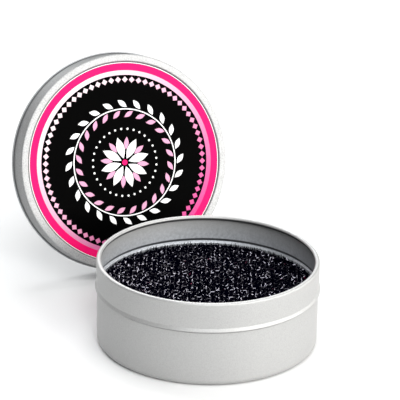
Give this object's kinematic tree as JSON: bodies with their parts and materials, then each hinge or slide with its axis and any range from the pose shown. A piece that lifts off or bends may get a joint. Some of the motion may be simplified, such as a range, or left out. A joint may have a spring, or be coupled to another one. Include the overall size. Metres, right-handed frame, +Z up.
{
  "type": "make-up brush cleaning tin",
  "caption": "Round slip-lid metal tin with a dry foam sponge inside for wiping colour off make-up brushes, shown open with its labelled lid leaning behind it.",
  "frame": {"origin": "middle of the tin's flat underside", "axes": "+Z up along the tin's axis, -Y towards the front, with the lid standing behind the tin towards +Y and -X"},
  "size_m": [0.1187, 0.1368, 0.0843],
  "materials": {
    "tin_plate": "satin, fine grained",
    "lid_plate": "satin, fine grained",
    "foam": "coarse open-cell foam",
    "label_print": "glossy printed sticker, black with a pink and a white ring"
  },
  "bodies": {
    "tin": {"tin_base": "tin_plate"},
    "sponge": {"sponge": "foam"},
    "lid": {"tin_lid": "lid_plate", "lid_label": "label_print"}
  },
  "joints": [
    {"name": "sponge_lift", "type": "slide", "parent": "tin", "child": "sponge", "axis": [0, 0, 1], "range_m": [0, 0.036]},
    {"name": "lid_lift", "type": "slide", "parent": "tin", "child": "lid", "axis": [0, 0, 1], "range_m": [0, 0.045]}
  ]
}
